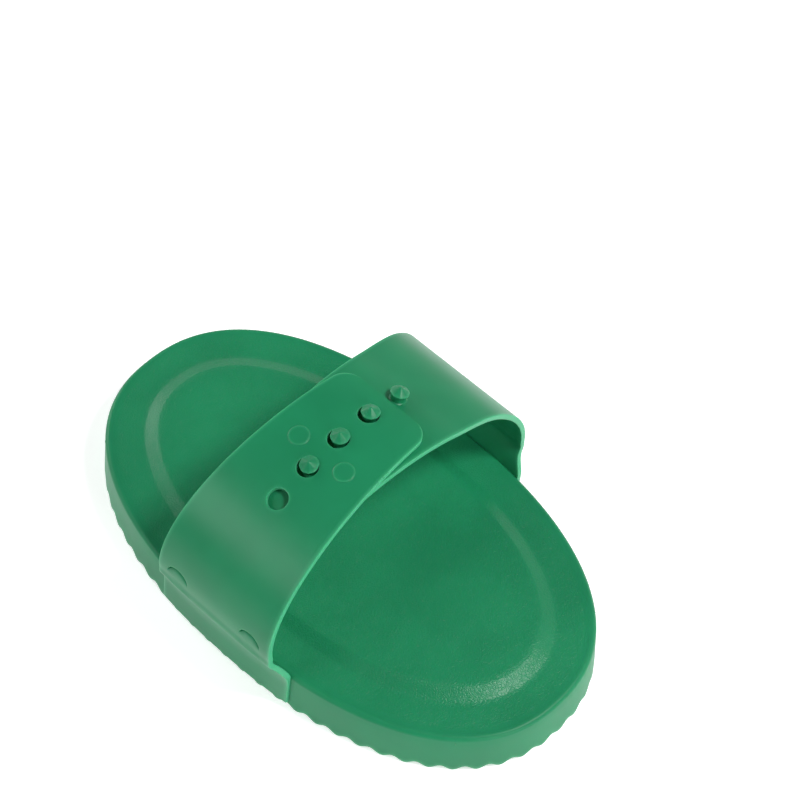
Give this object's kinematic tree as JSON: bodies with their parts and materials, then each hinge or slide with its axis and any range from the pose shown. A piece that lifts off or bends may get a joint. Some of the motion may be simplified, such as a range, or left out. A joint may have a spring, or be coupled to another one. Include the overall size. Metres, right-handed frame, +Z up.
{
  "type": "curry comb",
  "caption": "Oval pet grooming comb in soft plastic: scalloped concentric ribs under a back plate, and an arched hand strap whose two halves button together.",
  "frame": {"origin": "middle of the comb in the plane of the tooth tips", "axes": "+X along the comb, +Y across it towards the stud half of the strap, +Z up through the strap, away from the teeth"},
  "size_m": [0.1724, 0.1072, 0.0652],
  "materials": {
    "cup_shell": "smooth satin green soft plastic",
    "panel_grain": "green soft plastic with a fine moulded leather grain",
    "comb_ribs": "smooth satin green soft plastic",
    "strap": "smooth satin green soft plastic, slightly translucent at the thin edges",
    "studs": "smooth satin green soft plastic"
  },
  "bodies": {
    "cup": {"back_plate": "panel_grain", "end_web_left": "comb_ribs", "end_web_right": "comb_ribs", "hand_panel": "panel_grain", "hole_strap_root": "strap", "inner_comb_ring": "comb_ribs", "middle_comb_ring": "comb_ribs", "skirt": "cup_shell", "stud_strap_root": "strap", "web_centre_outer_front": "comb_ribs", "web_centre_outer_rear": "comb_ribs", "web_left_1_core": "comb_ribs", "web_left_1_inner_front": "comb_ribs", "web_left_1_inner_rear": "comb_ribs", "web_left_1_outer_front": "comb_ribs", "web_left_1_outer_rear": "comb_ribs", "web_left_2_outer_front": "comb_ribs", "web_left_2_outer_rear": "comb_ribs", "web_left_3": "comb_ribs", "web_right_1_core": "comb_ribs", "web_right_1_inner_front": "comb_ribs", "web_right_1_inner_rear": "comb_ribs", "web_right_1_outer_front": "comb_ribs", "web_right_1_outer_rear": "comb_ribs", "web_right_2_outer_front": "comb_ribs", "web_right_2_outer_rear": "comb_ribs", "web_right_3": "comb_ribs"},
    "hole_tongue": {"hole_strap_tongue": "strap"},
    "stud_tongue": {"stud_strap_tongue": "strap", "stud_1": "studs", "stud_2": "studs", "stud_3": "studs", "stud_4": "studs"}
  },
  "joints": [
    {"name": "hole_tongue_peel", "type": "hinge", "parent": "cup", "child": "hole_tongue", "pos_m": [0, -0.036, 0.05415], "axis": [1, 0, 0], "range_deg": [0, 90], "stiffness_Nm_per_rad": 0.03, "springref_deg": -17.19},
    {"name": "stud_tongue_press", "type": "hinge", "parent": "cup", "child": "stud_tongue", "pos_m": [0, 0.03472, 0.052], "axis": [1, 0, 0], "range_deg": [0, 25], "stiffness_Nm_per_rad": 0.06, "springref_deg": -17.19}
  ]
}
